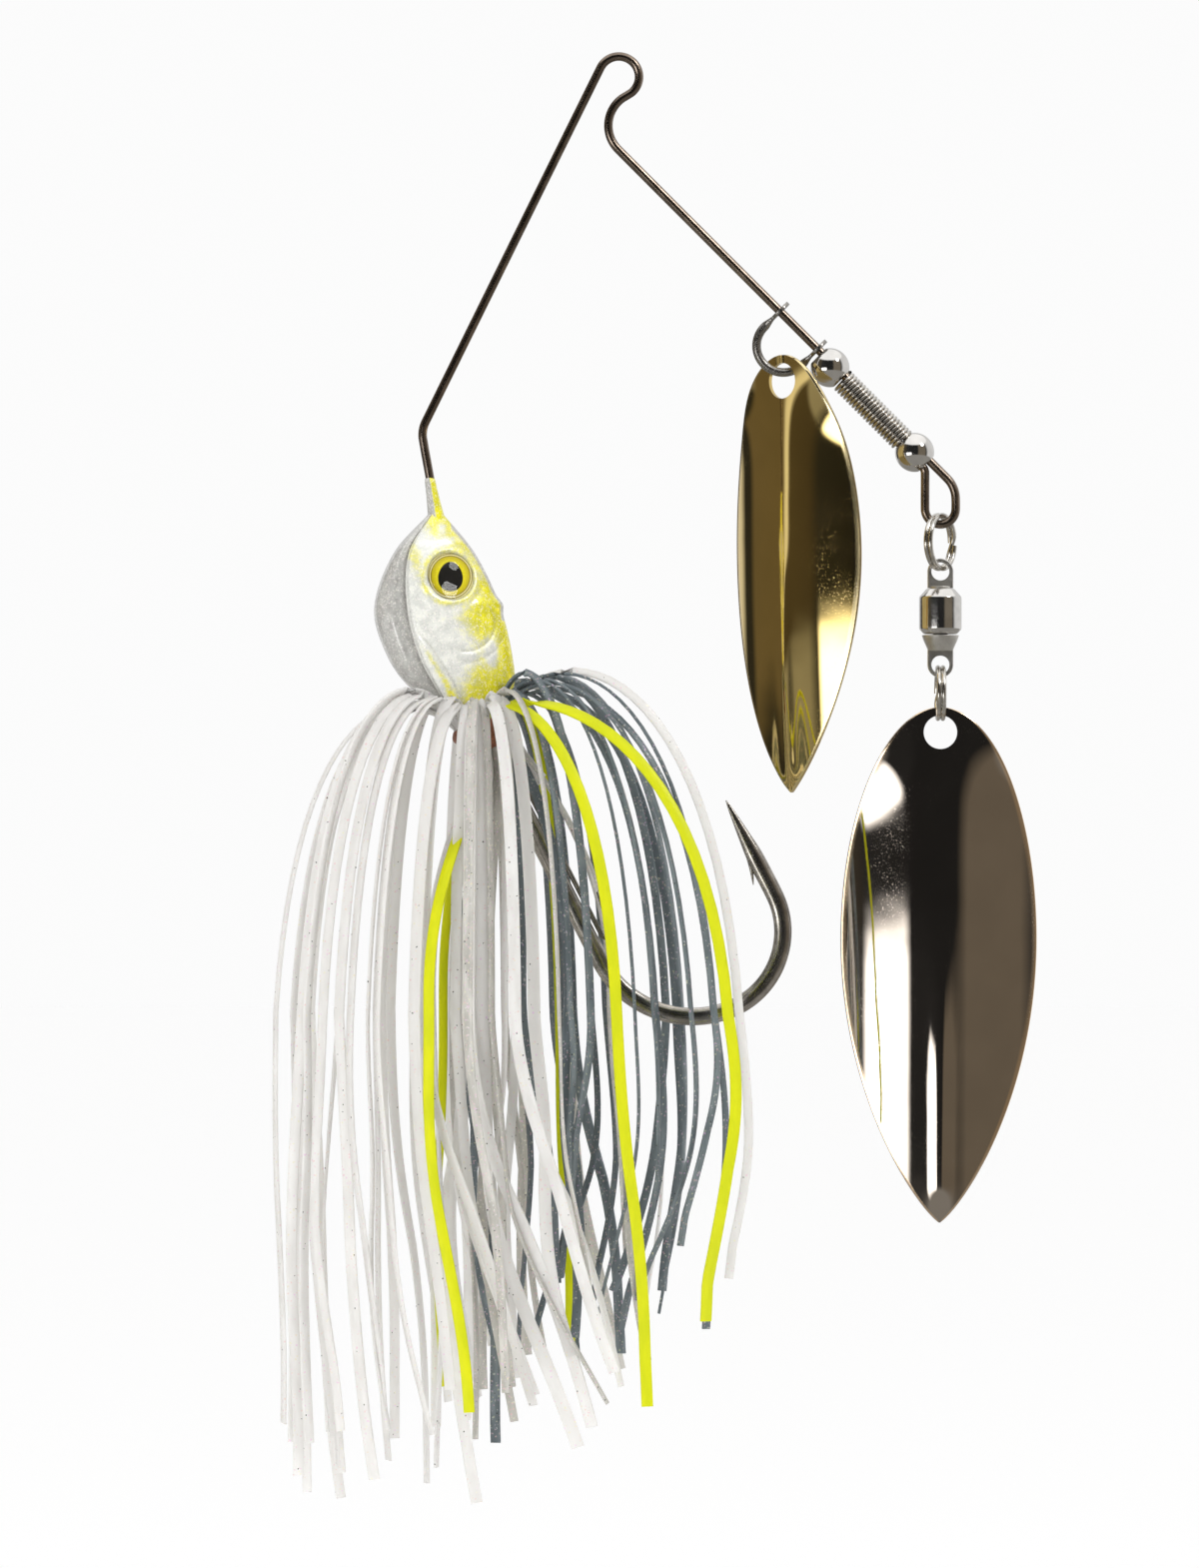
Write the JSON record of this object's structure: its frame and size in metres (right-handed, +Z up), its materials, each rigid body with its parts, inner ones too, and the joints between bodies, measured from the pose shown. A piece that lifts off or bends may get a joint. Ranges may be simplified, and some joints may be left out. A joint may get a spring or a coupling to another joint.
{
  "type": "spinnerbait",
  "caption": "Fishing lure with a bent wire frame, painted fish-head jig with single hook and strand skirt, and two willow-leaf blades, one on a clevis and one on a ball-bearing swivel.",
  "frame": {"origin": "inside the crown of the line-tie bend, on the wire's surface where the line bears", "axes": "+Z up with the blades hanging straight down, +X from the head and hook towards the blades in the wire's plane, +Y to the bait's left cheek"},
  "size_m": [0.0796, 0.0336, 0.1414],
  "materials": {
    "wire": "drawn stainless wire with a bronze-brown tone",
    "head_paint": "pearl white over lead with fine glitter, chartreuse back and silver belly, clear coated",
    "hook": "black-nickel plated forged wire",
    "keeper": "fine dark wire",
    "eye_foil": "yellow-gold foil with a black pupil",
    "eye_dome": "clear domed resin",
    "collar": "red-brown moulded rubber",
    "beads": "polished nickel plating",
    "coil": "tight-wound fine spring wire",
    "clevis": "bright nickel plating",
    "gold_blade": "mirror-polished gold plating",
    "dark_blade": "mirror-polished dark nickel plating with a bare gold rim",
    "rings": "nickel-plated split-ring wire",
    "swivel_barrel": "nickel-plated turned brass",
    "swivel_eyes": "nickel-plated pressed steel",
    "bearing_balls": "hardened polished steel",
    "skirt_smoke": "smoke-grey silicone with fine dark flake",
    "skirt_chartreuse": "opaque chartreuse silicone",
    "skirt_pearl": "pearl silicone with silver flake",
    "skirt_white": "translucent white silicone"
  },
  "bodies": {
    "wire_and_head": {"wire_form": "wire", "head_casting": "head_paint", "hook": "hook", "trailer_keeper": "keeper", "eye_foil_left": "eye_foil", "eye_foil_right": "eye_foil", "eye_dome_left": "eye_dome", "eye_dome_right": "eye_dome", "skirt_collar": "collar"},
    "lock_sleeve": {"rear_bead": "beads", "coil_sleeve": "coil"},
    "front_bead": {"front_bead": "beads"},
    "clevis": {"clevis": "clevis"},
    "front_blade": {"front_blade": "gold_blade"},
    "loop_ring": {"loop_ring": "rings"},
    "swivel_body": {"swivel_barrel": "swivel_barrel", "swivel_upper_eye": "swivel_eyes"},
    "swivel_spindle": {"swivel_lower_eye": "swivel_eyes"},
    "ball_race": {"bearing_ball_1": "bearing_balls", "bearing_ball_2": "bearing_balls", "bearing_ball_3": "bearing_balls", "bearing_ball_4": "bearing_balls", "bearing_ball_5": "bearing_balls", "bearing_ball_6": "bearing_balls"},
    "blade_ring": {"blade_ring": "rings"},
    "rear_blade": {"rear_blade": "dark_blade"},
    "skirt_white_right": {"skirt_white_right": "skirt_white"},
    "skirt_white_left": {"skirt_white_left": "skirt_white"},
    "skirt_pearl_right": {"skirt_pearl_right": "skirt_pearl"},
    "skirt_pearl_left": {"skirt_pearl_left": "skirt_pearl"},
    "skirt_chartreuse_right": {"skirt_chartreuse_right": "skirt_chartreuse"},
    "skirt_chartreuse_left": {"skirt_chartreuse_left": "skirt_chartreuse"},
    "skirt_smoke_right": {"skirt_smoke_right": "skirt_smoke"},
    "skirt_smoke_left": {"skirt_smoke_left": "skirt_smoke"}
  },
  "joints": [
    {"name": "sleeve_slide", "type": "slide", "parent": "wire_and_head", "child": "lock_sleeve", "axis": [-0.7071, 0, 0.7071], "range_m": [0, 0.008]},
    {"name": "front_bead_slide", "type": "slide", "parent": "lock_sleeve", "child": "front_bead", "axis": [-0.7071, 0, 0.7071], "range_m": [0, 0.011]},
    {"name": "clevis_spin", "type": "hinge", "parent": "front_bead", "child": "clevis", "pos_m": [0.01826, 0, -0.02731], "axis": [0.7071, 0, -0.7071], "continuous": true},
    {"name": "front_blade_swing", "type": "hinge", "parent": "clevis", "child": "front_blade", "pos_m": [0.01667, 0, -0.0289], "axis": [0, 1, 0], "range_deg": [-8, 6]},
    {"name": "loop_ring_swing", "type": "hinge", "parent": "wire_and_head", "child": "loop_ring", "pos_m": [0.0326, 0, -0.04699], "axis": [1, 0, 0], "range_deg": [-28, 28]},
    {"name": "swivel_tilt", "type": "hinge", "parent": "loop_ring", "child": "swivel_body", "pos_m": [0.0326, 0, -0.05148], "axis": [0.5, 0.866, 0], "range_deg": [-25, 10]},
    {"name": "swivel_spin", "type": "hinge", "parent": "swivel_body", "child": "swivel_spindle", "pos_m": [0.0326, 0, -0.05811], "axis": [0, 0, 1], "continuous": true},
    {"name": "ball_race_spin", "type": "hinge", "parent": "swivel_body", "child": "ball_race", "pos_m": [0.0326, 0, -0.05811], "axis": [0, 0, 1], "continuous": true},
    {"name": "blade_ring_swing", "type": "hinge", "parent": "swivel_spindle", "child": "blade_ring", "pos_m": [0.0326, 0, -0.06149], "axis": [0, 1, 0], "range_deg": [-25, 10]},
    {"name": "rear_blade_swing", "type": "hinge", "parent": "blade_ring", "child": "rear_blade", "pos_m": [0.0326, 0, -0.06409], "axis": [1, 0, 0], "range_deg": [-40, 40]},
    {"name": "flare_white_right", "type": "hinge", "parent": "wire_and_head", "child": "skirt_white_right", "pos_m": [-0.01688, -0.00193, -0.06869], "axis": [-0.5225, 0.8526, 0], "range_deg": [0, 8]},
    {"name": "flare_white_left", "type": "hinge", "parent": "wire_and_head", "child": "skirt_white_left", "pos_m": [-0.01688, 0.00193, -0.06869], "axis": [0.5225, 0.8526, 0], "range_deg": [0, 8]},
    {"name": "flare_pearl_right", "type": "hinge", "parent": "wire_and_head", "child": "skirt_pearl_right", "pos_m": [-0.01427, -0.00369, -0.06736], "axis": [-0.9981, 0.061, 0], "range_deg": [0, 8]},
    {"name": "flare_pearl_left", "type": "hinge", "parent": "wire_and_head", "child": "skirt_pearl_left", "pos_m": [-0.01427, 0.00369, -0.06736], "axis": [0.9981, 0.061, 0], "range_deg": [0, 8]},
    {"name": "flare_chartreuse_right", "type": "hinge", "parent": "wire_and_head", "child": "skirt_chartreuse_right", "pos_m": [-0.01239, -0.00319, -0.0664], "axis": [-0.8616, -0.5075, 0], "range_deg": [0, 8]},
    {"name": "flare_chartreuse_left", "type": "hinge", "parent": "wire_and_head", "child": "skirt_chartreuse_left", "pos_m": [-0.01239, 0.00319, -0.0664], "axis": [0.8616, -0.5075, 0], "range_deg": [0, 8]},
    {"name": "flare_smoke_right", "type": "hinge", "parent": "wire_and_head", "child": "skirt_smoke_right", "pos_m": [-0.01117, -0.00177, -0.06578], "axis": [-0.4772, -0.8788, 0], "range_deg": [0, 8]},
    {"name": "flare_smoke_left", "type": "hinge", "parent": "wire_and_head", "child": "skirt_smoke_left", "pos_m": [-0.01117, 0.00177, -0.06578], "axis": [0.4772, -0.8788, 0], "range_deg": [0, 8]}
  ],
  "couplings": [
    {"joint": "ball_race_spin", "follows": "swivel_spin", "ratio": 0.5},
    {"joint": "flare_white_left", "follows": "flare_white_right", "ratio": 1},
    {"joint": "flare_pearl_right", "follows": "flare_white_right", "ratio": 1},
    {"joint": "flare_pearl_left", "follows": "flare_white_right", "ratio": 1},
    {"joint": "flare_chartreuse_right", "follows": "flare_white_right", "ratio": 1},
    {"joint": "flare_chartreuse_left", "follows": "flare_white_right", "ratio": 1},
    {"joint": "flare_smoke_right", "follows": "flare_white_right", "ratio": 1},
    {"joint": "flare_smoke_left", "follows": "flare_white_right", "ratio": 1}
  ]
}
